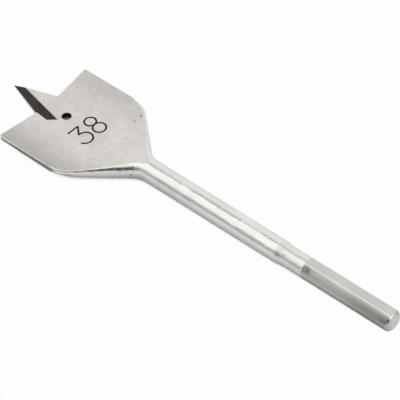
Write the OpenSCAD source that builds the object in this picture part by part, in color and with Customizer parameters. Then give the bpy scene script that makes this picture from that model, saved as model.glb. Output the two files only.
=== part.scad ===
// Spade drill bit for boring wide holes in wood, forged and ground from one round bar.
// It lies on its round shank with the blade level: the point looks along -X, +Z is up.

/* [Bar] */
// Length from the point to the end of the tail
overall_l = 152; // [130:1:200]
// Diameter of the round shank
shank_d = 7.4; // [7:0.1:9]

/* [Blade] */
// Width across the blade, the size of the hole that it bores
blade_w = 38; // [30:1:50]
// Length of each straight side
side_l = 21; // [14:0.2:30]
// Thickness of the blade at its front corners
front_t = 1.7; // [1:0.05:2.1]
// Thickness of the blade where its straight sides end
side_end_t = 2.3; // [1.8:0.05:2.8]
// How far the outer corners stand ahead of the roots of the cutting edges
edge_lead = 1.9; // [0.8:0.05:2.5]
// Clearance angle behind each cutting edge
edge_relief = 8; // [4:1:14]
// Clearance angle of each straight side below its leading edge
side_relief = 8; // [4:1:12]

/* [Shoulder] */
// Angle of the sloping shoulders to the axis
shoulder_angle = 42; // [34:1:50]
// Radius of the outer bend, where a side turns into its shoulder
corner_r = 11; // [8:0.5:14]
// Radius of the inner bend, where a shoulder runs into the shank
neck_r = 5; // [3:0.5:8]
// How far the ground faces run out along the shank behind the inner bend
grind_runout = 0.7; // [0.4:0.1:2]

/* [Point] */
// Length of the point, from its tip to the roots of the cutting edges
point_l = 14.2; // [11:0.2:18]
// Width of the point at those roots
point_w = 9; // [8:0.2:12]
// Slope of the ground facet along each leading edge of the point
facet_angle = 14; // [10:1:17]
// How far behind the tip the inner line of a facet leaves the trailing edge
facet_start = 3.7; // [2.5:0.1:5]
// How far the inner line of a facet runs on behind the roots
facet_run = 7.3; // [5:0.1:9]
// How far the outer wall of a facet runs on behind the roots
facet_wall = 4.7; // [3:0.1:5]
// How far that wall leans out, away from the axis, along its length
facet_flare = 0.5; // [0.2:0.1:1]
// Distance from the axis to the inner end of a facet
facet_offset = 2.8; // [2.4:0.1:3.4]

/* [Hole] */
// Diameter of the hole through the blade
hole_d = 2.9; // [2:0.1:3.4]
// Distance of the hole behind the roots of the cutting edges
hole_back = 8.4; // [7.6:0.1:12]

/* [Tail] */
// Distance across the flats of the hexagon
hex_af = 6.35; // [6.2:0.05:6.5]
// Diameter over the blunted corners of the hexagon
hex_corner_d = 6.9; // [6.9:0.05:7.1]
// Length of the hexagon
hex_l = 32; // [25:0.5:40]
// Angle by which the hexagon is turned on the axis against the blade
hex_turn = 10.5; // [0:0.5:30]
// Length over which each flat runs out ahead of the hexagon
flat_runout = 0.5; // [0.3:0.1:1.5]
// Diameter of the round neck ahead of the hexagon
neck_d = 6.7; // [6.5:0.05:6.85]
// Length of the round neck with the cone that leads into it
neck_l = 10.5; // [6:0.5:14]
// Length of the cone from the shank down to the neck
step_l = 1.8; // [1:0.1:3]
// Length of the bevel round the end of the tail
end_bevel_l = 1.1; // [0.8:0.1:2]
// Diameter of the flat end of the tail
end_d = 4.6; // [4:0.1:5.4]

/* [Hidden] */
$fn = 96;

// Room by which a cutting shape reaches past what it cuts
reach = 2;
// Sides of the wide circle that stands for the grinding wheel
wheel_fn = 720;
// How far the bends of the rim stand off its straight lengths, so that they run into each other
lap = 0.03;
// Angle and length by which they run on into each other
lap_angle = 10;
lap_l = 2;

shank_r = shank_d / 2;
corner_x = point_l - edge_lead;
side_end_x = corner_x + side_l;

// The rim is a round bar as thick as the shank, bent along the blade's edge.
// These are the points of its middle line: side, outer bend, shoulder, inner bend, axis.
// At the end of the sides it stands out past the width, and the clearance of the sides takes it back.
rim_y = blade_w / 2 - sqrt(shank_r * shank_r - side_end_t * side_end_t / 4) + lap;
outer_bend_r = corner_r - shank_r;
shoulder_run = [cos(shoulder_angle), -sin(shoulder_angle)];
inner_bend_r = neck_r + shank_r;
bend_from = [side_end_x, rim_y];
bend_centre = bend_from - [0, outer_bend_r];
bend_to = bend_centre + outer_bend_r * [sin(shoulder_angle), cos(shoulder_angle)];
neck_from_y = inner_bend_r * (1 - cos(shoulder_angle));
neck_from = [bend_to.x + (bend_to.y - neck_from_y) / tan(shoulder_angle), neck_from_y];
neck_x = neck_from.x + inner_bend_r * sin(shoulder_angle);
neck_centre = [neck_x, inner_bend_r];

// Each ground face is straight to the end of the sides, then follows a wheel that runs out on the shank.
taper = (side_end_t - front_t) / 2 / side_l;
taper_angle = atan(taper);
wheel_from = [side_end_x, side_end_t / 2];
wheel_to = [neck_x + grind_runout, shank_r];
wheel_normal = [-sin(taper_angle), cos(taper_angle)];
wheel_chord = wheel_to - wheel_from;
wheel_r = (wheel_chord * wheel_chord) / (2 * wheel_chord * wheel_normal);
wheel_centre = wheel_from + wheel_r * wheel_normal;

// Tail, measured from the tip like the rest
hex_x = overall_l - hex_l;
step_x = hex_x - neck_l;

function half_thickness(x) = front_t / 2 + taper * (x - corner_x);

// Straight length of the rim between two points of its middle line
module rim_bar(from, to) {
  run = to - from;
  translate([from.x, from.y, 0])
    rotate([0, 90, atan2(run.y, run.x)])
      cylinder(r = shank_r, h = norm(run));
}

// Bent length of the rim
module rim_bend(centre, bend_r, start, angle) {
  translate([centre.x, centre.y, 0])
    rotate_extrude(angle = angle, start = start)
      translate([bend_r + lap, 0])
        circle(r = shank_r);
}

// One side's rim, from the front of the bar to the shank
module rim() {
  rim_bar([-reach, rim_y], bend_from);
  rim_bend(bend_centre, outer_bend_r, 90 - shoulder_angle - lap_angle, shoulder_angle + 2 * lap_angle);
  rim_bar(bend_to, neck_from + lap_l * shoulder_run);
  intersection() {
    rim_bend(neck_centre, inner_bend_r, 270 - shoulder_angle, shoulder_angle);
    translate([neck_from.x - shank_d, 0, -shank_d])
      cube([inner_bend_r + 2 * shank_d, shank_d + inner_bend_r, 2 * shank_d]);
  }
}

// Web that fills the blade between the two rims, taller than they are until the faces are ground
module web() {
  side = [[-reach, rim_y], bend_from, bend_to, neck_from];
  axis_end = [[neck_x, 0]];
  other_side = [for (i = [len(side) - 1:-1:0]) [side[i].x, -side[i].y]];
  linear_extrude(height = 2 * shank_d, center = true)
    polygon(concat(side, axis_end, other_side));
}

// Round shank, cone, neck and the bar of the hexagon with its bevelled end, turned on the axis
module turned_shank() {
  rotate([0, 90, 0])
    rotate_extrude()
      polygon([
        [0, neck_x - lap_l],
        [shank_r, neck_x - lap_l],
        [shank_r, step_x],
        [neck_d / 2, step_x + step_l],
        [neck_d / 2, hex_x - flat_runout],
        [hex_corner_d / 2, hex_x - flat_runout + (hex_corner_d - neck_d) / 2],
        [hex_corner_d / 2, overall_l - end_bevel_l],
        [end_d / 2, overall_l],
        [0, overall_l]
      ]);
}

// Material pressed away above one flat of the hexagon, which runs out toward the neck at a slope
module hex_flat() {
  top = hex_corner_d / 2 + reach;
  slope = flat_runout / (hex_corner_d / 2 - hex_af / 2);
  rotate([90, 0, 0])
    linear_extrude(height = 2 * shank_d, center = true)
      polygon([
        [hex_x, hex_af / 2],
        [hex_x - (top - hex_af / 2) * slope, top],
        [overall_l + reach, top],
        [overall_l + reach, hex_af / 2]
      ]);
}

// Space that the two ground faces leave, drawn in side view and carried across the blade
module between_faces() {
  top = shank_r + reach;
  rotate([90, 0, 0])
    linear_extrude(height = blade_w + 2 * reach, center = true)
      for (turn = [0, 1])
        mirror([0, turn])
          difference() {
            polygon([
              [-reach, 0],
              [-reach, half_thickness(-reach)],
              wheel_from,
              wheel_from + 2 * top * wheel_normal,
              [overall_l + reach, wheel_from.y + 2 * top],
              [overall_l + reach, 0]
            ]);
            translate(wheel_centre)
              circle(r = wheel_r, $fn = wheel_fn);
          }
}

// Open space beside the point and in front of one wing, with the clearance behind the cutting edge
module wing_front() {
  edge_run = (blade_w - point_w) / 2;
  point_side = [point_l, point_w / 2];
  intersection() {
    translate([point_l, -point_w / 2, half_thickness(point_l)])
      rotate([0, 0, -atan2(edge_lead, edge_run)])
        rotate([0, -edge_relief, 0])
          translate([-overall_l, -blade_w, -blade_w])
            cube([overall_l, 2 * blade_w, 2 * blade_w]);
    rotate([0, 0, -atan2(point_side.y, point_side.x)])
      translate([-reach, -2 * blade_w, -blade_w])
        cube([2 * blade_w, 2 * blade_w, 2 * blade_w]);
  }
}

// Space outside one straight side, which leans in below its leading edge and runs out along the outer bend
module side_clearance() {
  translate([corner_x, -blade_w / 2, front_t / 2])
    rotate([0, -taper_angle, 0])
      rotate([side_relief, 0, 0])
        translate([-overall_l, -blade_w, -blade_w])
          cube([2 * overall_l, blade_w, 2 * blade_w]);
}

// Material ground away above one facet of the point
module point_facet() {
  start = [facet_start, facet_start / point_l * point_w / 2];
  end = [point_l + facet_run, -facet_offset];
  run = end - start;
  along = atan2(run.y, run.x);
  front = start - run * (start.x + reach) / run.x;
  intersection() {
    translate([0, 0, -shank_r])
      linear_extrude(height = shank_d)
        polygon([
          front,
          end,
          [point_l + facet_wall, -point_w / 2 - facet_flare],
          [point_l, -point_w / 2],
          [-reach, -point_w / 2]
        ]);
    translate([start.x, start.y, half_thickness(start.x)])
      rotate([0, 0, along])
        rotate([0, -taper_angle, 0])
          rotate([facet_angle, 0, 0])
            translate([-overall_l, -blade_w, 0])
              cube([2 * overall_l, 2 * blade_w, blade_w]);
  }
}

// What is left of a forged piece between the two ground faces
module ground() {
  intersection() {
    children();
    between_faces();
  }
}

// The blade and shank as forged and ground: two rims, the web between them and the turned shank
module ground_blank() {
  for (side = [0, 1])
    mirror([0, side, 0])
      ground()
        rim();
  ground()
    web();
  ground()
    turned_shank();
}

module spade_bit() {
  color([0.80, 0.79, 0.76])
    translate([-overall_l / 2, 0, shank_r])
      difference() {
        ground_blank();
        for (turn = [0, 180])
          rotate([turn, 0, 0]) {
            wing_front();
            side_clearance();
            point_facet();
          }
        translate([point_l + hole_back, 0, -shank_r])
          cylinder(d = hole_d, h = shank_d);
        for (turn = [0:60:300])
          rotate([turn - hex_turn, 0, 0])
            hex_flat();
      }
}

spade_bit();
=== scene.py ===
"""Spade drill bit, 38 mm: its steel, as forged, ground, polished and numbered, on a white table."""

import math

import bmesh
import bpy
import numpy as np
from mathutils import Matrix


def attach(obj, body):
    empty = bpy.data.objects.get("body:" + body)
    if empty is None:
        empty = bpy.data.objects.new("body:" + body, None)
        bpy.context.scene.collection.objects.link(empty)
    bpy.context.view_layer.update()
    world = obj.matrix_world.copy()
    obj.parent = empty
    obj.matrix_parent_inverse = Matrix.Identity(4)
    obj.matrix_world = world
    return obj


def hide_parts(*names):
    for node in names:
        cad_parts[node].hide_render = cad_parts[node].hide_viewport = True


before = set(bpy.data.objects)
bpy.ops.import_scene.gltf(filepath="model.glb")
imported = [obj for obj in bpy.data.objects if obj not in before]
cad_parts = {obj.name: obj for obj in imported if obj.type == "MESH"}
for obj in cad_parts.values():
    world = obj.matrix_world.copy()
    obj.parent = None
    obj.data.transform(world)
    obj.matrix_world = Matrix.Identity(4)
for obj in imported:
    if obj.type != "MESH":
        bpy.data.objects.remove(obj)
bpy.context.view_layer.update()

# The blade: the front of one length of tool steel, forged flat, so that its round edge becomes a bent rim.
# Both faces are ground across on a wide wheel, which runs out on the shank in a V.
# Lengths of the bit are in millimetres: a back from the tip, b across the blade and c up from the axis.
OVERALL, SHANK_R, HALF_WIDTH = 152.0, 3.7, 19.0
SIDE_FROM, SIDE_TO = 12.3, 33.3
FRONT_HALF, SIDE_END_HALF = 0.85, 1.15
TAPER = (SIDE_END_HALF - FRONT_HALF) / (SIDE_TO - SIDE_FROM)
RUNOUT_A = 57.4


def ground_half(a):
    """Half the thickness between the ground faces, a mm behind the tip. It is a straight taper to the end of the
    sides, then the arc of a wheel that leaves along the taper and meets the top of the shank at the run-out."""
    tilt = math.atan(TAPER)
    normal = np.array([-math.sin(tilt), math.cos(tilt)])
    chord = np.array([RUNOUT_A - SIDE_TO, SHANK_R - SIDE_END_HALF])
    wheel_r = chord @ chord / (2 * chord @ normal)
    centre = np.array([SIDE_TO, SIDE_END_HALF]) + wheel_r * normal
    straight = FRONT_HALF + TAPER * (a - SIDE_FROM)
    wheel = centre[1] - np.sqrt(np.maximum(wheel_r**2 - (a - centre[0]) ** 2, 0))
    return np.where(a < SIDE_TO, straight, np.where(a < RUNOUT_A, np.minimum(wheel, SHANK_R), SHANK_R))


# Middle line of the rim: end of the side, slope of the shoulder, radius of the outer and of the inner bend.
# The edge that follows in the cut is ground rounder than the one that leads.
CORNER_ROUND, RIM_PROUD = 0.45, 0.03
RIM_B = HALF_WIDTH - math.sqrt(SHANK_R**2 - SIDE_END_HALF**2) + RIM_PROUD
FOLLOWING = 30.5, math.radians(39.9), 14.2, 10.0
LEADING = SIDE_TO, math.radians(42), 7.3, 8.7


def neck_place(side_to, slope, outer_r, inner_r):
    """How far behind the tip an inner bend ends: where the side ends, plus the lengths along the axis of both bends
    and of the straight between them, which comes in by what the bends leave."""
    drop = RIM_B - outer_r * (1 - math.cos(slope)) - inner_r * (1 - math.cos(slope))
    return side_to + (outer_r + inner_r) * math.sin(slope) + drop / math.tan(slope)


NECK_A = neck_place(*FOLLOWING)


def line_reach(a, rho, side_to, slope, outer_r, inner_r):
    """Half the width of the bar a mm behind the tip, in the layer where its round edge stands rho mm out of the rim's
    middle line. Side, outer bend, shoulder, inner bend and shank follow each other, each tangent to the last."""
    bend_r, neck_r = outer_r + rho, inner_r - rho
    neck_a = neck_place(side_to, slope, outer_r, inner_r)
    bend_end, neck_start = side_to + bend_r * math.sin(slope), neck_a - neck_r * math.sin(slope)
    from_corner = np.clip(SIDE_FROM + CORNER_ROUND - a, 0, CORNER_ROUND)
    side = RIM_B + rho - CORNER_ROUND + np.sqrt(CORNER_ROUND**2 - from_corner**2)
    bend = RIM_B - outer_r + np.sqrt(np.maximum(bend_r**2 - (a - side_to) ** 2, 0))
    shoulder = RIM_B - outer_r + bend_r * math.cos(slope) - (a - bend_end) * math.tan(slope)
    neck = inner_r - np.sqrt(np.maximum(neck_r**2 - (a - neck_a) ** 2, 0))
    return np.select([a <= side_to, a <= bend_end, a <= neck_start, a <= neck_a], [side, bend, shoulder, neck], rho)


def edge_reach(a, rho, lead):
    """Half the width of the bar, between the following outline at lead 0 and the leading one at lead 1."""
    return (1 - lead) * line_reach(a, rho, *FOLLOWING) + lead * line_reach(a, rho, *LEADING)


# The edges of the ground faces are broken, hardly along the sides and more along the shoulders. The break grows
# between two places, given for the edge that follows and for the one that leads, up to a share of the half width.
# Its size on the face and on the rim differs, and a line of points supports the flat face just inside it.
SIDE_BREAK, FACE_BREAK, RIM_BREAK, BREAK_SHARE = 0.07, 0.4, 1.0, 0.3
BREAK_GROWS = (30.6, 34.4), (32.6, 34.4)
FACE_SUPPORT = 0.08
FACE_STEPS = np.array([0, 0.2, 0.4, 0.6, 0.8, 1.0])
BREAK_STEPS = np.linspace(0, 1, 10)[1:-1]
FACE_COLUMNS = len(FACE_STEPS) + 1 + len(BREAK_STEPS)


def face_and_break(a, lead):
    """One ground face from its middle out, then a curve of second degree that leaves along the face and ends on the
    round edge, where its edge is broken; also the angle round the edge at which that curve ends."""
    half = ground_half(a)
    edge_angle = np.arcsin(half / SHANK_R)
    edge_b = edge_reach(a, SHANK_R * np.cos(edge_angle), lead)
    size, rim_size = (np.minimum(np.interp(a, BREAK_GROWS[lead], (SIDE_BREAK, full)), BREAK_SHARE * edge_b)
                      for full in (FACE_BREAK, RIM_BREAK))
    round_angle = edge_angle - rim_size / SHANK_R
    round_b, round_c = edge_reach(a, SHANK_R * np.cos(round_angle), lead), SHANK_R * np.sin(round_angle)
    inner = np.maximum(edge_b - size - FACE_SUPPORT, 0)
    t = BREAK_STEPS
    break_b = (1 - t) ** 2 * (edge_b - size) + 2 * t * (1 - t) * edge_b + t**2 * round_b
    break_c = (1 - t**2) * half + t**2 * round_c
    b = np.hstack([inner * FACE_STEPS, edge_b - size, break_b])
    c = np.hstack([half + 0 * inner * FACE_STEPS, half, break_c])
    return b, c, round_angle


# Points round the rim lie at the angles that the tail's hexagon needs, close together where its flats end.
HEX_TURN, HALF_FLAT = 10.5, 30
FLAT_STEPS = np.array([0, 4, 8, 12, 16, 20, 23, 25.2, 26.0, 26.8, 28.4, HALF_FLAT])
FLATS_AT = np.array([-60, 0, 60, 120, 180, 240]) + HEX_TURN
AROUND = (FLATS_AT[:, None] + np.concatenate([-FLAT_STEPS[:0:-1], FLAT_STEPS])).reshape(-1)
AROUND = np.unique(np.round(np.concatenate([[0, 180], AROUND[(AROUND > 0) & (AROUND < 180)]]), 6))
ROUND_STEPS = 1 - AROUND / 90


def blade_sections(a):
    """Half sections of the blade at the places a, from the middle of the top face to the middle of the bottom one: the
    flat face with its broken edge, the round edge at angles up and down, and the other face. Here the edge of the top
    face follows in the cut and that of the bottom face leads."""
    a = a[:, None]
    top_b, top_c, top_angle = face_and_break(a, 0)
    low_b, low_c, low_angle = face_and_break(a, 1)
    lead = (1 - ROUND_STEPS) / 2
    angle = ROUND_STEPS * np.where(ROUND_STEPS > 0, top_angle, low_angle)
    round_b, round_c = edge_reach(a, SHANK_R * np.cos(angle), lead), SHANK_R * np.sin(angle)
    b = np.hstack([top_b, round_b, low_b[:, ::-1]])
    c = np.hstack([top_c, round_c, -low_c[:, ::-1]])
    return np.stack([a + 0 * b, b, c], -1)


# The tail of the same bar: shank, cone and neck are turned and polished, and the end is pressed to a hexagon that is
# turned against the blade. Its flats are slightly crowned and run out toward the neck, and its end has a bevel.
# Both tables give places along the bar, the first with the turned radius and the second with the flats' distance.
NECK_R, HEX_HALF, HEX_CORNER_R, HEX_CROWN, FLAT_EDGE = 3.35, 3.175, 3.45, 0.08, 26.0
STEP_A, STEP_L, HEX_A, NO_FLAT = 109.5, 1.8, 120.0, 5.0
TURNED = np.array([
    [NECK_A, SHANK_R], [STEP_A - 0.35, SHANK_R], [STEP_A - 0.1, SHANK_R - 0.01], [STEP_A + 0.15, SHANK_R - 0.04],
    [STEP_A + STEP_L - 0.2, NECK_R + 0.035], [STEP_A + STEP_L + 0.1, NECK_R + 0.008],
    [STEP_A + STEP_L + 0.4, NECK_R], [HEX_A - 0.5, NECK_R], [HEX_A - 0.3, HEX_CORNER_R], [OVERALL, HEX_CORNER_R],
])
PRESSED = np.array([
    [NECK_A, NO_FLAT], [HEX_A - 0.45, NO_FLAT], [HEX_A - 0.35, HEX_CORNER_R], [HEX_A - 0.1, HEX_HALF + 0.05],
    [HEX_A + 0.05, HEX_HALF + 0.01], [HEX_A + 0.25, HEX_HALF], [OVERALL, HEX_HALF],
])
END_R, END_BEVEL, END_BULGE, END_BREAK = 2.3, 1.1, 0.08, 0.18
BEVEL_STEPS = np.array([0, 0.08, 0.25, 0.5, 0.75, 0.92])[:, None]
END_RIM_TURN = np.radians([40, 58, 75, 90])[:, None]
TAIL_ANGLE = np.concatenate([np.full(FACE_COLUMNS, 90.0), 90 * ROUND_STEPS, np.full(FACE_COLUMNS, -90.0)])


def from_flat(angle):
    """Angle round the axis from the middle of the nearest flat, in degrees: the rest after whole flats."""
    return (angle - HEX_TURN + HALF_FLAT) % (2 * HALF_FLAT) - HALF_FLAT


def tail_radius(a, angle):
    """Radius of the tail a mm behind the tip at an angle round the axis: the turned radius there, cut down to the six
    flats. A flat falls off a little from its middle to its edges, as the square of the distance."""
    turned = np.interp(a, TURNED[:, 0], TURNED[:, 1])
    off = np.tan(np.radians(from_flat(angle))) / math.tan(math.radians(FLAT_EDGE))
    flats = np.interp(a, PRESSED[:, 0], PRESSED[:, 1]) - HEX_CROWN * off**2
    return np.minimum(turned, flats / np.cos(np.radians(from_flat(angle))))


def tail_sections(a):
    """Half sections of the bar behind the blade: points at the same angles as the blade's round edge has."""
    radius = tail_radius(a[:, None], 90 - TAIL_ANGLE)
    turn = np.radians(TAIL_ANGLE)
    return np.stack([a[:, None] + 0 * radius, radius * np.cos(turn), radius * np.sin(turn)], -1)


def end_sections():
    """Half sections of the tail's end: from the last line of the flats, where a cone meets them, along a slightly
    bulged bevel to the rim of the end face, and over the broken rim onto that face."""
    flats = tail_radius(OVERALL - END_BEVEL, 90 - TAIL_ANGLE)
    start_a = OVERALL - END_BEVEL * (flats - END_R) / (HEX_CORNER_R - END_R)
    bulge = END_BULGE * 4 * BEVEL_STEPS * (1 - BEVEL_STEPS)
    bevel_a = start_a + BEVEL_STEPS * (OVERALL - END_BREAK - start_a) + bulge
    bevel_radius = flats + BEVEL_STEPS * (END_R + END_BREAK - flats) + bulge
    a = np.vstack([bevel_a, OVERALL - END_BREAK * (1 - np.sin(END_RIM_TURN)) + 0 * flats])
    radius = np.vstack([bevel_radius, END_R - END_BREAK * (1 - np.cos(END_RIM_TURN)) + 0 * flats])
    turn = np.radians(TAIL_ANGLE)
    return np.stack([a, radius * np.cos(turn), radius * np.sin(turn)], -1)


# The finishes of the steel. Ground faces carry fine lines across the blade, the polished bar has faint lines along it
# and an uneven grain, and all have soft smudges, worked out from the place on the object in metres.
SCRATCH_TONE, SCRATCH_ROUGH, GRAIN_STRETCH = 0.5, 0.08, (300, 1100, 1100)


def value_group(name, inputs, outputs):
    """An empty node group with the named number inputs, a Vector input and the named outputs."""
    group = bpy.data.node_groups.new(name, "ShaderNodeTree")
    group.interface.new_socket("Vector", in_out="INPUT", socket_type="NodeSocketVector")
    for label, default in inputs:
        socket = group.interface.new_socket(label, in_out="INPUT", socket_type="NodeSocketFloat")
        socket.default_value = default
    for label in outputs:
        group.interface.new_socket(label, in_out="OUTPUT", socket_type="NodeSocketFloat")
    return group, group.nodes.new("NodeGroupInput"), group.nodes.new("NodeGroupOutput")


def noise(tree, vector, scale, detail=2.0, roughness=0.5):
    """A noise texture on a vector."""
    node = tree.nodes.new("ShaderNodeTexNoise")
    node.inputs["Scale"].default_value = scale
    node.inputs["Detail"].default_value = detail
    node.inputs["Roughness"].default_value = roughness
    tree.links.new(vector, node.inputs["Vector"])
    return node.outputs["Fac"]


def stretched(tree, vector, scale, turn=(0, 0, 0)):
    """A vector drawn out by a scale along each axis, then turned by Euler angles."""
    node = tree.nodes.new("ShaderNodeMapping")
    node.inputs["Rotation"].default_value = [math.radians(v) for v in turn]
    node.inputs["Scale"].default_value = scale
    tree.links.new(vector, node.inputs["Vector"])
    return node.outputs["Vector"]


def ranged(tree, value, low, high, to_low=0.0, to_high=1.0):
    """A value taken smoothly from one range to another and held inside it."""
    node = tree.nodes.new("ShaderNodeMapRange")
    node.interpolation_type = "SMOOTHSTEP"
    for socket, number in zip(node.inputs[1:5], (low, high, to_low, to_high)):
        socket.default_value = number
    tree.links.new(value, node.inputs["Value"])
    return node.outputs["Result"]


def worked(tree, operation, left, right):
    """Two values, numbers or sockets, joined by one step of arithmetic."""
    node = tree.nodes.new("ShaderNodeMath")
    node.operation = operation
    for socket, value in zip(node.inputs, (left, right)):
        if isinstance(value, (int, float)):
            socket.default_value = value
        else:
            tree.links.new(value, socket)
    return node.outputs["Value"]


lines_group, given, out = value_group("tool_lines", [("Fine", 5200.0), ("Long", 130.0)], ["Lines", "Scratches"])
spread = lines_group.nodes.new("ShaderNodeCombineXYZ")
lines_group.links.new(given.outputs["Fine"], spread.inputs["X"])
lines_group.links.new(given.outputs["Long"], spread.inputs["Y"])
lines_group.links.new(given.outputs["Long"], spread.inputs["Z"])
drawn = lines_group.nodes.new("ShaderNodeVectorMath")
drawn.operation = "MULTIPLY"
lines_group.links.new(given.outputs["Vector"], drawn.inputs[0])
lines_group.links.new(spread.outputs["Vector"], drawn.inputs[1])
fine_lines = noise(lines_group, drawn.outputs["Vector"], 1.0, 5.0, 0.62)
lines_group.links.new(ranged(lines_group, fine_lines, 0.25, 0.75), out.inputs["Lines"])
few_lines = noise(lines_group, drawn.outputs["Vector"], 0.55, 1.0, 0.4)
lines_group.links.new(ranged(lines_group, few_lines, 0.68, 0.78), out.inputs["Scratches"])

smudge_group, given, out = value_group("patches", [("Scale", 110.0)], ["Cloud"])
cloud = smudge_group.nodes.new("ShaderNodeTexNoise")
cloud.inputs["Detail"].default_value = 3.0
smudge_group.links.new(given.outputs["Vector"], cloud.inputs["Vector"])
smudge_group.links.new(given.outputs["Scale"], cloud.inputs["Scale"])
smudge_group.links.new(ranged(smudge_group, cloud.outputs["Fac"], 0.3, 0.7), out.inputs["Cloud"])


def steel(name, dark, light, rough, lines, turn=(0, 0, 0), fine=3000.0, long=330.0, bump=0.15, depth=3e-6,
          grain=0.0, shade=None):
    """Bare steel: colour between a dark and a light tone by its lines and smudges, gloss that follows them, a slight
    relief of the same lines and, under it, a coarser grain of a given height in metres. Where told, a shade makes it
    darker by place."""
    material = bpy.data.materials.new(name)
    material.use_nodes = True
    tree = material.node_tree
    shader = tree.nodes["Principled BSDF"]
    shader.inputs["Metallic"].default_value = 1.0
    where = tree.nodes.new("ShaderNodeTexCoord").outputs["Object"]
    marks = tree.nodes.new("ShaderNodeGroup")
    marks.node_tree = lines_group
    marks.inputs["Fine"].default_value = fine
    marks.inputs["Long"].default_value = long
    tree.links.new(stretched(tree, where, (1, 1, 1), turn), marks.inputs["Vector"])
    soft = tree.nodes.new("ShaderNodeGroup")
    soft.node_tree = smudge_group
    tree.links.new(where, soft.inputs["Vector"])
    tone = worked(tree, "ADD", worked(tree, "MULTIPLY", marks.outputs["Lines"], lines),
                  worked(tree, "MULTIPLY", soft.outputs["Cloud"], 1 - lines))
    tone = worked(tree, "ADD", tone, worked(tree, "MULTIPLY", marks.outputs["Scratches"], SCRATCH_TONE))
    ramp = tree.nodes.new("ShaderNodeMix")
    ramp.data_type = "RGBA"
    ramp.inputs[6].default_value = (*dark, 1)
    ramp.inputs[7].default_value = (*light, 1)
    tree.links.new(tone, ramp.inputs[0])
    colour = ramp.outputs[2]
    if shade:
        darker = tree.nodes.new("ShaderNodeVectorMath")
        darker.operation = "SCALE"
        tree.links.new(colour, darker.inputs[0])
        tree.links.new(shade(tree, where), darker.inputs["Scale"])
        colour = darker.outputs["Vector"]
    tree.links.new(colour, shader.inputs["Base Color"])
    gloss = worked(tree, "ADD", ranged(tree, tone, 0, 1, rough[1], rough[0]),
                   worked(tree, "MULTIPLY", marks.outputs["Scratches"], SCRATCH_ROUGH))
    tree.links.new(gloss, shader.inputs["Roughness"])
    relief = tree.nodes.new("ShaderNodeBump")
    relief.inputs["Strength"].default_value = bump
    relief.inputs["Distance"].default_value = depth
    tree.links.new(marks.outputs["Lines"], relief.inputs["Height"])
    if grain:
        uneven = tree.nodes.new("ShaderNodeBump")
        uneven.inputs["Strength"].default_value = 1.0
        uneven.inputs["Distance"].default_value = grain
        tree.links.new(noise(tree, stretched(tree, where, GRAIN_STRETCH), 1.0), uneven.inputs["Height"])
        tree.links.new(uneven.outputs["Normal"], relief.inputs["Normal"])
    tree.links.new(relief.outputs["Normal"], shader.inputs["Normal"])
    return material


def place_along(tree, where, axis):
    """One coordinate of the place on the object."""
    node = tree.nodes.new("ShaderNodeSeparateXYZ")
    tree.links.new(where, node.inputs["Vector"])
    return node.outputs[axis]


def painted_face_shade(tree, where):
    """Painted shade: ground faces are darker toward the near side and, less, toward the far one."""
    across = place_along(tree, where, "Y")
    return worked(tree, "MULTIPLY", ranged(tree, across, -0.021, -0.006, 0.69, 1.0),
                  ranged(tree, across, 0.006, 0.017, 1.0, 0.87))


# Round darker patches: the place of each in metres, its reach and how much it takes from the brightness. Those where
# the hexagon starts are painted shade.
NECK_DARK_PATCHES = (
    ((0.0341, -0.0028, 0.0060), 0.0013, 0.2), ((0.0363, -0.0024, 0.0062), 0.0012, 0.22),
    ((0.0345, -0.0011, 0.0071), 0.0016, 0.12),
)
HEX_PAINTED_SHADES = ((0.0449, -0.0021, 0.0062), 0.0017, 0.36), ((0.0458, -0.0025, 0.0058), 0.0016, 0.2)
PATCH_CORE = 0.3


def patches(tree, where, places):
    """How bright the steel is: full, less what each patch takes, all of it in its core and none beyond its reach."""
    bright = 1.0
    for centre, reach, depth in places:
        off = tree.nodes.new("ShaderNodeVectorMath")
        off.operation = "DISTANCE"
        tree.links.new(where, off.inputs[0])
        off.inputs[1].default_value = centre
        taken = ranged(tree, off.outputs["Value"], PATCH_CORE * reach, reach, depth, 0.0)
        bright = worked(tree, "SUBTRACT", bright, taken)
    return bright


def neck_darkening(tree, where):
    """The colour is darker in round patches on the cone and in the neck."""
    return patches(tree, where, NECK_DARK_PATCHES)


def painted_hex_shade(tree, where):
    """Painted shade where the near flat starts, and painted shade on the near side, darker toward its end."""
    near = ranged(tree, place_along(tree, where, "Y"), -0.0024, -0.0012, 1.0, 0.0)
    # Painted shade on the near flat, growing toward the tail's end.
    near_painted_shade = worked(tree, "MULTIPLY", near, ranged(tree, place_along(tree, where, "X"), 0.054, 0.07, 0.0, 0.3))
    return worked(tree, "SUBTRACT", patches(tree, where, HEX_PAINTED_SHADES), near_painted_shade)


ground_steel = steel("ground_steel", (0.59, 0.567, 0.535), (0.795, 0.764, 0.72), (0.30, 0.42), 0.7,
                     fine=3800.0, long=480.0, shade=painted_face_shade)
bar_steel = steel("bar_steel", (0.70, 0.695, 0.675), (0.78, 0.775, 0.755), (0.15, 0.21), 0.4,
                  turn=(0, 0, 90), fine=2600.0, long=90.0, bump=0.08, grain=1e-4)
neck_steel = steel("neck_steel", (0.67, 0.662, 0.64), (0.79, 0.78, 0.755), (0.24, 0.32), 0.4,
                   turn=(0, 0, 90), fine=2600.0, long=90.0, bump=0.08, grain=1e-4, shade=neck_darkening)
hex_steel = steel("hex_steel", (0.54, 0.532, 0.508), (0.65, 0.64, 0.612), (0.27, 0.36), 0.6,
                  turn=(0, 0, 90), fine=2600.0, long=90.0, bump=0.05, grain=5e-5, shade=painted_hex_shade)
bevel_steel = steel("bevel_steel", (0.42, 0.415, 0.4), (0.52, 0.515, 0.5), (0.2, 0.28), 0.5, bump=0.0)
# The rubbed edges: glossier than the flats, and lighter in colour, which is a painted highlight.
edge_steel_painted_bright = steel("edge_steel_painted_bright", (0.63, 0.625, 0.605), (0.71, 0.705, 0.685), (0.2, 0.28), 0.5, bump=0.0)
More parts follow.
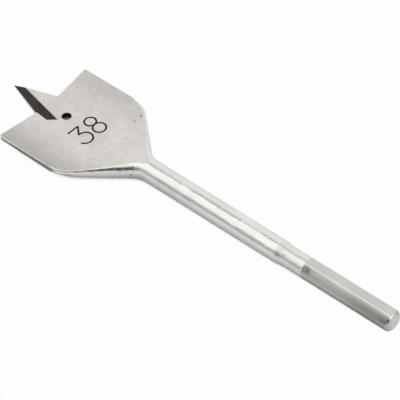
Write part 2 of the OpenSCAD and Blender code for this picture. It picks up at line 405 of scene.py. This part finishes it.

# Blade and tail are one closed skin of steel. Half of it is worked out, from the middle of the top to the middle of
# the bottom, and half a turn about the axis, which changes the signs of b and c, gives the rest.
# Each face has the finish of its place; the corners of the hexagon and the rim of its end are rubbed glossier, and
# their lighter colour is a painted highlight.
HALF_TURN = np.array([1, -1, -1])
SAME_POINT = 1e-5
NECK_FROM, HEXAGON_FROM, CORNERS_FROM = STEP_A - 0.5, HEX_A - 0.6, HEX_A - 0.3
CORNER_FROM_FLAT, CORNER_OFF_LEVEL = 28, 30


def solid(name, points, faces, finishes, face_finish=None):
    """A closed mesh from points and faces, with doubled points joined and outward faces. Every face has the first
    finish, or the one whose number stands for it in the last list."""
    mesh = bpy.data.meshes.new(name)
    mesh.from_pydata(points.reshape(-1, 3).tolist(), [], faces)
    for material in finishes:
        mesh.materials.append(material)
    if face_finish is not None:
        mesh.polygons.foreach_set("material_index", face_finish)
    work = bmesh.new()
    work.from_mesh(mesh)
    bmesh.ops.remove_doubles(work, verts=work.verts, dist=SAME_POINT)
    bmesh.ops.recalc_face_normals(work, faces=work.faces)
    work.to_mesh(mesh)
    work.free()
    made = bpy.data.objects.new(name, mesh)
    bpy.context.scene.collection.objects.link(made)
    return made


def ring_faces(rows, columns):
    """Four-cornered faces between neighbouring rows of closed rings, and one face over each end."""
    row, column = np.meshgrid(np.arange(rows - 1), np.arange(columns), indexing="ij")
    beside = (column + 1) % columns
    quads = np.stack([row * columns + column, row * columns + beside, (row + 1) * columns + beside,
                      (row + 1) * columns + column], -1).reshape(-1, 4)
    ends = [list(range(columns)), list(range((rows - 1) * columns, rows * columns))]
    return quads.tolist() + ends


blade_rows = np.concatenate([
    [-2.0, 8.0, 11.0], np.linspace(SIDE_FROM - 0.1, SIDE_FROM + CORNER_ROUND, 9),
    [13.5, 16, 20, 24, 28, 30.2], np.linspace(FOLLOWING[0], 46, 52)[:-1], np.linspace(46, RUNOUT_A, 46)[:-1],
    np.linspace(RUNOUT_A, NECK_A, 7),
])
tail_rows = np.concatenate([
    [NECK_A + 0.3, 62, 70, 80, 90, 100, 107], np.linspace(STEP_A - 0.4, STEP_A + STEP_L + 0.5, 14),
    [113, 115.5], np.linspace(HEX_A - 0.7, HEX_A + 0.5, 19), [122, 126, 132, 140, 147],
])
half_rings = np.concatenate([blade_sections(blade_rows), tail_sections(tail_rows), end_sections()])
rings = np.concatenate([half_rings, half_rings * HALF_TURN], 1)
half_is_face = np.zeros(half_rings.shape[1], bool)
half_is_face[: len(FACE_STEPS)] = half_is_face[-len(FACE_STEPS) - 1 : -1] = True
between = (TAIL_ANGLE + np.append(TAIL_ANGLE[1:], -90)) / 2
half_is_corner = (np.abs(from_flat(90 - between)) > CORNER_FROM_FLAT) & (np.abs(between) > CORNER_OFF_LEVEL)
end_rows = len(BEVEL_STEPS) + len(END_RIM_TURN)
row_a = np.concatenate([blade_rows, tail_rows, np.full(end_rows, OVERALL)])[:-1]

GROUND, POLISHED, NECK, HEXAGON, BEVEL, EDGE = range(6)
face_finish = np.where(np.tile(half_is_face, 2) & (row_a < RUNOUT_A)[:, None], GROUND, POLISHED)
face_finish[row_a > NECK_FROM] = NECK
face_finish[row_a > HEXAGON_FROM] = HEXAGON
face_finish[np.ix_((row_a > CORNERS_FROM) & (row_a < OVERALL), np.tile(half_is_corner, 2))] = EDGE
face_finish[1 - end_rows :] = BEVEL
face_finish[1 - len(END_RIM_TURN) :] = EDGE
bit = solid("bit_steel", rings, ring_faces(*rings.shape[:2]),
            [ground_steel, bar_steel, neck_steel, hex_steel, bevel_steel, edge_steel_painted_bright],
            np.append(face_finish, [GROUND, HEXAGON]).astype(np.int32))

# The front of each wing is ground away beside the point, square but for a small clearance behind its cutting edge.
# The two wings are the same, turned half round the axis.
POINT_L, POINT_HALF, EDGE_LEAD, EDGE_RELIEF = 14.2, 4.5, 1.9, math.radians(8)
CUT_HEIGHT, FRONT_WIDE, FRONT_LONG = 6.0, 30, 40
BOX_FACES = [[0, 1, 2, 3], [7, 6, 5, 4], [0, 4, 5, 1], [1, 5, 6, 2], [2, 6, 7, 3], [3, 7, 4, 0]]


def cut_away(body, cutter):
    """Takes the cutter's shape out of the body, whose new faces keep the cutter's finish, and removes the cutter."""
    step = body.modifiers.new("cut", "BOOLEAN")
    step.operation = "DIFFERENCE"
    step.solver = "EXACT"
    step.material_mode = "TRANSFER"
    step.object = cutter
    view = bpy.context.evaluated_depsgraph_get()
    made = bpy.data.meshes.new_from_object(body.evaluated_get(view))
    body.modifiers.remove(step)
    old = body.data
    body.data = made
    made.name = body.name
    bpy.data.meshes.remove(old)
    bpy.data.objects.remove(cutter)


def block(plan, heights):
    """Corners of a block: four corners in plan at the lower height, then four at the upper one."""
    return np.concatenate([plan, np.broadcast_to(np.reshape(heights, (2, 1, 1)), (2, 4, 1))], -1)


def wing_front():
    """A skewed block whose two working sides are the clearance plane, through the cutting edge and leaning back, and
    the upright side of the point; both meet in the leaning line through the root of the edge."""
    edge_run = HALF_WIDTH - POINT_HALF
    along_edge = np.array([-EDGE_LEAD, -edge_run]) / math.hypot(EDGE_LEAD, edge_run)
    along_point = np.array([-POINT_L, POINT_HALF]) / math.hypot(POINT_L, POINT_HALF)
    forward = np.array([along_edge[1], -along_edge[0]])
    heights = np.array([-CUT_HEIGHT, CUT_HEIGHT])
    lean = (ground_half(np.array(POINT_L)) - heights) * math.tan(EDGE_RELIEF)
    root = np.array([POINT_L, -POINT_HALF]) + along_point * (lean / (along_point @ -forward))[:, None]
    side, front = np.array([0, FRONT_WIDE, FRONT_WIDE, 0]), np.array([0, 0, FRONT_LONG, FRONT_LONG])
    plan = root[:, None] + side[:, None] * along_edge + front[:, None] * along_point
    return block(plan, heights)


for turn in (1, HALF_TURN):
    cut_away(bit, solid("wing_front", wing_front() * turn, BOX_FACES, [bar_steel]))

# Each straight side is ground with a clearance: from its leading edge it leans in, and it runs out in a wedge where
# the rim bends away. The edge itself is stoned to a narrow bright land, and the outer corner has a small nick.
SIDE_RELIEF, LAND_ANGLE, LAND_WIDTH, CORNER_NICK = math.radians(8), math.radians(55), 0.14, 0.6
SIDE_BLOCK_A, SIDE_BLOCK_WIDE, NICK_PAST, NICK_WIDE = (-4.0, 60.0), 12.0, 3, 4
# The clearance faces are coloured dark: painted shade.
side_steel_painted_dark = steel("side_steel_painted_dark", (0.26, 0.255, 0.24), (0.38, 0.37, 0.35), (0.3, 0.42), 0.5, turn=(0, 0, 90))


def side_clearance(lean, inset):
    """A long block beside the bit. Its inner side holds the leading edge of a straight side, moved in by an inset, and
    leans in by an angle below that edge."""
    a = np.repeat(SIDE_BLOCK_A, 4)
    edge_c = FRONT_HALF + TAPER * (a - SIDE_FROM)
    drop = np.tile([CUT_HEIGHT, -CUT_HEIGHT, -CUT_HEIGHT, CUT_HEIGHT], 2)
    outer = np.tile([0, 0, SIDE_BLOCK_WIDE, SIDE_BLOCK_WIDE], 2)
    return np.column_stack([a, -HALF_WIDTH + inset + drop * math.tan(lean) - outer, edge_c - drop])


def corner_nick():
    """An upright block whose inner side cuts the outer corner off at an even slant."""
    front = np.array([SIDE_FROM, CORNER_NICK - HALF_WIDTH])
    side = np.array([SIDE_FROM + CORNER_NICK, -HALF_WIDTH])
    along = (side - front) / np.linalg.norm(side - front)
    out = NICK_WIDE * np.array([along[1], -along[0]])
    from_front, past_side = front - NICK_PAST * along, side + NICK_PAST * along
    plan = np.array([from_front, past_side, past_side + out, from_front + out])
    return block(np.stack([plan, plan]), [-CUT_HEIGHT, CUT_HEIGHT])


for turn in (1, HALF_TURN):
    cut_away(bit, solid("corner_nick", corner_nick() * turn, BOX_FACES, [bar_steel]))
    for lean, inset, finish in ((SIDE_RELIEF, 0, side_steel_painted_dark), (-LAND_ANGLE, LAND_WIDTH, bar_steel)):
        cut_away(bit, solid("side_clearance", side_clearance(lean, inset) * turn, BOX_FACES, [finish]))

# Each leading edge of the point is ground to a slanting facet, whose dark colour is painted shade. It starts at the
# other edge of the point, near the tip, and runs out in the face behind the root of the cutting edge.
FACET_ANGLE, FACET_START, FACET_RUN, FACET_WALL = math.radians(14), 3.7, 7.3, 4.7
FACET_OFFSET, FACET_FLARE, TIP_PAST = 2.8, 0.5, 3
facet_steel_painted_dark = steel("facet_steel_painted_dark", (0.035, 0.033, 0.028), (0.075, 0.07, 0.06), (0.3, 0.45), 0.5, turn=(0, 0, 60))


def point_facet():
    """A five-cornered column standing on the slanting plane: the plane holds the facet's inner line, along the taper,
    and falls away from it at the facet's angle."""
    start = np.array([FACET_START, FACET_START / POINT_L * POINT_HALF])
    end = np.array([POINT_L + FACET_RUN, -FACET_OFFSET])
    run = (end - start) / np.linalg.norm(end - start)
    beside = np.array([run[1], -run[0]])
    outline = np.array([start - run * (FACET_START + TIP_PAST), end,
                        [POINT_L + FACET_WALL, -POINT_HALF - FACET_FLARE],
                        [POINT_L, -POINT_HALF], [-TIP_PAST, -POINT_HALF]])
    along, across = (outline - start) @ run, (outline - start) @ beside
    floor_c = ground_half(np.array(FACET_START)) + TAPER * run[0] * along - np.tan(FACET_ANGLE) * across
    low = np.column_stack([outline, floor_c])
    high = np.column_stack([outline, np.full(len(outline), CUT_HEIGHT)])
    return np.stack([low, high])


for turn in (1, HALF_TURN):
    facet = point_facet() * turn
    cut_away(bit, solid("point_facet", facet, ring_faces(*facet.shape[:2]), [facet_steel_painted_dark]))

# A hole drilled through the blade behind the point takes a pull wire. Its two rims are broken, and its wall's dark
# colour is painted shade.
# The cutter widens on past each face by the same slope as the break.
HOLE_A, HOLE_R, HOLE_BREAK, HOLE_PAST, HOLE_SIDES = 22.6, 1.45, 0.12, 0.4, 64
hollow_steel_painted_dark = steel("hollow_steel_painted_dark", (0.03, 0.028, 0.025), (0.07, 0.066, 0.06), (0.4, 0.5), 0.5)


def hole_rings():
    """Rings round an upright axis: the hole's radius between the faces, and wider by the break at each of them."""
    half = ground_half(np.array(HOLE_A))
    profile = np.array([
        [HOLE_R + HOLE_BREAK + HOLE_PAST, -half - HOLE_PAST], [HOLE_R, -half + HOLE_BREAK],
        [HOLE_R, half - HOLE_BREAK], [HOLE_R + HOLE_BREAK + HOLE_PAST, half + HOLE_PAST],
    ])
    turn = np.linspace(0, 2 * math.pi, HOLE_SIDES, endpoint=False)
    radius, height = profile[:, :1], profile[:, 1:]
    return np.stack([HOLE_A + radius * np.cos(turn), radius * np.sin(turn), height + 0 * turn], -1)


hole = hole_rings()
cut_away(bit, solid("wire_hole", hole, ring_faces(*hole.shape[:2]), [hollow_steel_painted_dark]))

# The size in millimetres is stamped into the top face in thin strokes and filled with black. The eight is two rings;
# the three is a bar, a slanting line and an open bowl. Places are a and b, and the bowl's turn is in degrees.
STROKE_R, STROKE_DEPTH, STROKE_SIDES = 0.3, 0.18, 16
EIGHT, EIGHT_POINTS = (((29.92, 2.85), 1.87), ((33.89, 2.75), 2.1)), 72
THREE_LINES, LINE_POINTS = (([28.28, -5.3], [28.33, -0.95]), ([28.33, -1.0], [31.25, -3.6])), 8
BOWL_AT, BOWL_R, BOWL_TURN, BOWL_POINTS = (33.6, -3.2), 2.4, (188, -80), 50
number_black = steel("number_black", (0.012, 0.011, 0.01), (0.03, 0.028, 0.026), (0.5, 0.65), 0.5)
number_black.node_tree.nodes["Principled BSDF"].inputs["Metallic"].default_value = 0.0
number_black.node_tree.nodes["Principled BSDF"].inputs["Specular IOR Level"].default_value = 0.1


def stroke(path, closed):
    """A flattened tube along a path on the top face: an upright oval ring at each point, square to the path."""
    if closed:
        ahead = np.roll(path, -1, 0) - np.roll(path, 1, 0)
    else:
        ahead = np.gradient(path, axis=0)
    ahead /= np.linalg.norm(ahead, axis=1, keepdims=True)
    beside = np.stack([-ahead[:, 1], ahead[:, 0]], -1)
    turn = np.linspace(0, 2 * math.pi, STROKE_SIDES, endpoint=False)
    plan = path[:, None] + STROKE_R * np.cos(turn)[:, None] * beside[:, None]
    height = ground_half(path[:, :1]) + STROKE_DEPTH * np.sin(turn)
    return np.concatenate([plan, height[..., None]], -1)


def arc(centre, radius, turn):
    """Points on a circle: its centre and, from there, the radius times cosine and sine of each angle."""
    return np.stack([centre[0] + radius * np.cos(turn), centre[1] + radius * np.sin(turn)], -1)


def loop_faces(rows, columns):
    """Four-cornered faces between rings that close up on themselves."""
    row, column = np.meshgrid(np.arange(rows), np.arange(columns), indexing="ij")
    after, beside = (row + 1) % rows, (column + 1) % columns
    quads = np.stack([row * columns + column, row * columns + beside, after * columns + beside,
                      after * columns + column], -1)
    return quads.reshape(-1, 4).tolist()


whole_turn = np.linspace(0, 2 * math.pi, EIGHT_POINTS, endpoint=False)
for centre, radius in EIGHT:
    ring = stroke(arc(centre, radius, whole_turn), True)
    cut_away(bit, solid("eight", ring, loop_faces(*ring.shape[:2]), [number_black]))
bowl = arc(BOWL_AT, BOWL_R, np.radians(np.linspace(*BOWL_TURN, BOWL_POINTS)))
for line in (*(np.linspace(*ends, LINE_POINTS) for ends in THREE_LINES), bowl):
    tube = stroke(line, False)
    cut_away(bit, solid("three", tube, ring_faces(*tube.shape[:2]), [number_black]))

# A few pits that forging left in the steel: three in the upper face, with their a, b and radius, and one on the rim
# beside the shank. They are shallow round hollows, with the same painted shade as the bore.
FACE_PITS = ((40.61, 14.23, 0.3), (40.46, 11.34, 0.25), (43.62, 4.23, 0.23))
RIM_PIT = ((53.9, -4.8, -0.3), 0.28)
PIT_RISE, PIT_SIDES = np.radians([-75, -40, 0, 40, 75])[:, None], 12


def pit(centre, radius):
    """Rings of a ball, from its bottom to its top, round a centre."""
    turn = np.linspace(0, 2 * math.pi, PIT_SIDES, endpoint=False)
    ball = np.stack([np.cos(PIT_RISE) * np.cos(turn), np.cos(PIT_RISE) * np.sin(turn),
                     np.sin(PIT_RISE) + 0 * turn], -1)
    return np.array(centre) + radius * ball


face_pits = [((a, b, ground_half(np.array(a))), radius) for a, b, radius in FACE_PITS]
for centre, radius in [*face_pits, RIM_PIT]:
    ball = pit(centre, radius)
    cut_away(bit, solid("pit", ball, ring_faces(*ball.shape[:2]), [hollow_steel_painted_dark]))

# The finished bit is laid on its shank, with the middle of its length over the origin, and comes into metres.
# Edges sharper than the limit stay crisp, and all else is smooth.
MILLIMETRE, SHARP_FROM = 0.001, math.radians(28)
bit.data.transform(Matrix.Scale(MILLIMETRE, 4) @ Matrix.Translation((-OVERALL / 2, 0, SHANK_R)))
bit.data.polygons.foreach_set("use_smooth", np.ones(len(bit.data.polygons), bool))
bit.data.set_sharp_from_angle(angle=SHARP_FROM)
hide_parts("spade_bit")
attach(bit, "root")

# The table: a wide white sheet of paper, which keeps the soft shadow under the bit. To the eye and mirrored in the
# steel it glows white where an occlusion test finds nothing close over it, and gives way to the lit paper where
# something is, so that the shadow is partly painted; for the mirror image the test counts only what is on its far
# side, which paints a shadow on the near side of the bit.
TABLE_REACH, CLOSE_OVER, PAPER_WHITE, PAPER_ROUGH = 3.0, 0.02, (0.86, 0.86, 0.86, 1), 0.9
SEEN_SHARE, SEEN_OPEN = 0.97, (0.1, 0.3)
GLOSS_SHARE, GLOSS_OPEN, FAR_WAY = 0.66, (0.35, 0.95), (0.1, 0.75, 0.65)


def flat_sheet(name, corners, material):
    """One four-cornered face of the studio."""
    mesh = bpy.data.meshes.new(name)
    mesh.from_pydata(corners, [], [(0, 1, 2, 3)])
    mesh.materials.append(material)
    made = bpy.data.objects.new(name, mesh)
    bpy.context.scene.collection.objects.link(made)
    return made


sheet_white = bpy.data.materials.new("sheet_white")
sheet_white.use_nodes = True
tree = sheet_white.node_tree
paper = tree.nodes["Principled BSDF"]
paper.inputs["Base Color"].default_value = PAPER_WHITE
paper.inputs["Roughness"].default_value = PAPER_ROUGH
paper.inputs["Specular IOR Level"].default_value = 0.0
glow = tree.nodes.new("ShaderNodeEmission")
rays = tree.nodes.new("ShaderNodeLightPath")
# Occlusion tests that paint shadow: the glow gives way close under the bit, and the tilted test paints a shadow on its
# near side.
above = tree.nodes.new("ShaderNodeAmbientOcclusion")
above.inputs["Distance"].default_value = CLOSE_OVER
seen = worked(tree, "MULTIPLY", rays.outputs["Is Camera Ray"],
              ranged(tree, above.outputs["AO"], *SEEN_OPEN, 0.0, SEEN_SHARE))
beyond = tree.nodes.new("ShaderNodeAmbientOcclusion")
beyond.inputs["Distance"].default_value = CLOSE_OVER
far_way = tree.nodes.new("ShaderNodeCombineXYZ")
for socket, part in zip(far_way.inputs, FAR_WAY):
    socket.default_value = part
tree.links.new(far_way.outputs["Vector"], beyond.inputs["Normal"])
polished = worked(tree, "MAXIMUM", rays.outputs["Is Glossy Ray"], rays.outputs["Is Transmission Ray"])
mirrored = worked(tree, "MULTIPLY", polished, ranged(tree, beyond.outputs["AO"], *GLOSS_OPEN, 0.0, GLOSS_SHARE))
blend = tree.nodes.new("ShaderNodeMixShader")
tree.links.new(worked(tree, "MAXIMUM", seen, mirrored), blend.inputs["Fac"])
tree.links.new(paper.outputs["BSDF"], blend.inputs[1])
tree.links.new(glow.outputs["Emission"], blend.inputs[2])
tree.links.new(blend.outputs["Shader"], tree.nodes["Material Output"].inputs["Surface"])
flat_sheet("table_sheet", [(-TABLE_REACH, -TABLE_REACH, 0), (TABLE_REACH, -TABLE_REACH, 0),
                           (TABLE_REACH, TABLE_REACH, 0), (-TABLE_REACH, TABLE_REACH, 0)], sheet_white)

# The lamps: one wide soft box above the bit and a little to its near side, and a smaller one beyond the tail.
# A grey frame runs along the far edge of the wide one, and a card graded from grey to dark closes the near end of the
# room; both show only in what is polished. Places and sizes are in metres.
LAMP_HEIGHT, LAMP_X, LAMP_Y, LAMP_LIGHT = 1.0, (-2.0, 0.4), (-1.05, 0.17), 0.24
GRADED_X, FRAME_GREY, ROOM_GREYS = (-1.2, 1.0), 0.55, (0.57, 0.1)


def soft_box(name, place, size, light, aim=(0, 0, 0)):
    """A flat lamp of one brightness at a place, turned by Euler angles from looking straight down."""
    lamp = bpy.data.lights.new(name, "AREA")
    lamp.shape = "RECTANGLE"
    lamp.size, lamp.size_y = size
    lamp.energy = light * math.pi * size[0] * size[1]
    made = bpy.data.objects.new(name, lamp)
    made.location = place
    made.rotation_euler = [math.radians(v) for v in aim]
    made.visible_camera = False
    bpy.context.scene.collection.objects.link(made)


def card(name, corners, greys):
    """A card, graded along X from one grey to another, that only shows in what is polished."""
    paint = bpy.data.materials.new(name)
    paint.use_nodes = True
    tree = paint.node_tree
    surface = tree.nodes.new("ShaderNodeEmission")
    where = tree.nodes.new("ShaderNodeTexCoord").outputs["Object"]
    tree.links.new(ranged(tree, place_along(tree, where, "X"), *GRADED_X, *greys), surface.inputs["Strength"])
    tree.links.new(surface.outputs["Emission"], tree.nodes["Material Output"].inputs["Surface"])
    made = flat_sheet(name, corners, paint)
    made.visible_camera = made.visible_diffuse = made.visible_shadow = False


soft_box("soft_box", (sum(LAMP_X) / 2, sum(LAMP_Y) / 2, LAMP_HEIGHT),
         (LAMP_X[1] - LAMP_X[0], LAMP_Y[1] - LAMP_Y[0]), LAMP_LIGHT)
soft_box("tail_lamp", place=(0.86, 0.17, 0.47), size=(0.62, 0.95), light=0.9, aim=(0, 61, 11))
card("lamp_frame", [(-3, 0.18, LAMP_HEIGHT), (1.5, 0.18, LAMP_HEIGHT), (1.5, 0.47, LAMP_HEIGHT),
                    (-3, 0.47, LAMP_HEIGHT)], (FRAME_GREY, FRAME_GREY))
card("room_end", [(-3, -1.5, 0.06), (5, -1.5, 0.06), (5, -1.5, 2.2), (-3, -1.5, 0.45)], ROOM_GREYS)

# The room: its walls are white to the eye and in the polished steel.
# To everything else they give a plain soft light, which is weaker.
ROOM_LIGHT, ROOM_WHITE = 0.55, 1.0
world = bpy.data.worlds.new("white_room")
bpy.context.scene.world = world
world.use_nodes = True
tree = world.node_tree
sky = tree.nodes["Background"]
sky.inputs["Color"].default_value = (1, 1, 1, 1)
rays = tree.nodes.new("ShaderNodeLightPath")
seen = worked(tree, "MAXIMUM", rays.outputs["Is Camera Ray"],
              worked(tree, "MAXIMUM", rays.outputs["Is Glossy Ray"], rays.outputs["Is Transmission Ray"]))
tree.links.new(ranged(tree, seen, 0, 1, ROOM_LIGHT, ROOM_WHITE), sky.inputs["Strength"])

# The camera: a long lens 850 mm from the middle of the bit, which looks down on it and is turned a little, so that
# the bit lies as it does in the picture. The scale holds at that middle, which has its place in pixels.
ELEVATION, AZIMUTH, ROLL = (math.radians(v) for v in (46.489, 45.067, -4.131))
DISTANCE, PIXELS_PER_MM, MIDDLE_AT, PICTURE = 850.0, 3.3717, (196.32, 199.08), 400
back = np.array([math.sin(AZIMUTH) * math.cos(ELEVATION), -math.cos(AZIMUTH) * math.cos(ELEVATION),
                 math.sin(ELEVATION)])
level = np.array([math.cos(AZIMUTH), math.sin(AZIMUTH), 0])
rise = np.cross(back, level)
right = math.cos(ROLL) * level + math.sin(ROLL) * rise
up = -math.sin(ROLL) * level + math.cos(ROLL) * rise
lens = bpy.data.cameras.new("camera")
lens.sensor_width = 36.0
lens.lens = lens.sensor_width * PIXELS_PER_MM * DISTANCE / PICTURE
lens.shift_x = (PICTURE / 2 - MIDDLE_AT[0]) / PICTURE
lens.shift_y = (MIDDLE_AT[1] - PICTURE / 2) / PICTURE
lens.clip_end = 10.0
camera = bpy.data.objects.new("camera", lens)
placed = np.eye(4)
placed[:3, :3] = np.stack([right, up, back], -1)
placed[:3, 3] = (np.array([0, 0, SHANK_R]) + DISTANCE * back) * MILLIMETRE
camera.matrix_world = Matrix(placed.tolist())
bpy.context.scene.collection.objects.link(camera)
bpy.context.scene.camera = camera
bpy.context.scene.view_settings.view_transform = "Standard"
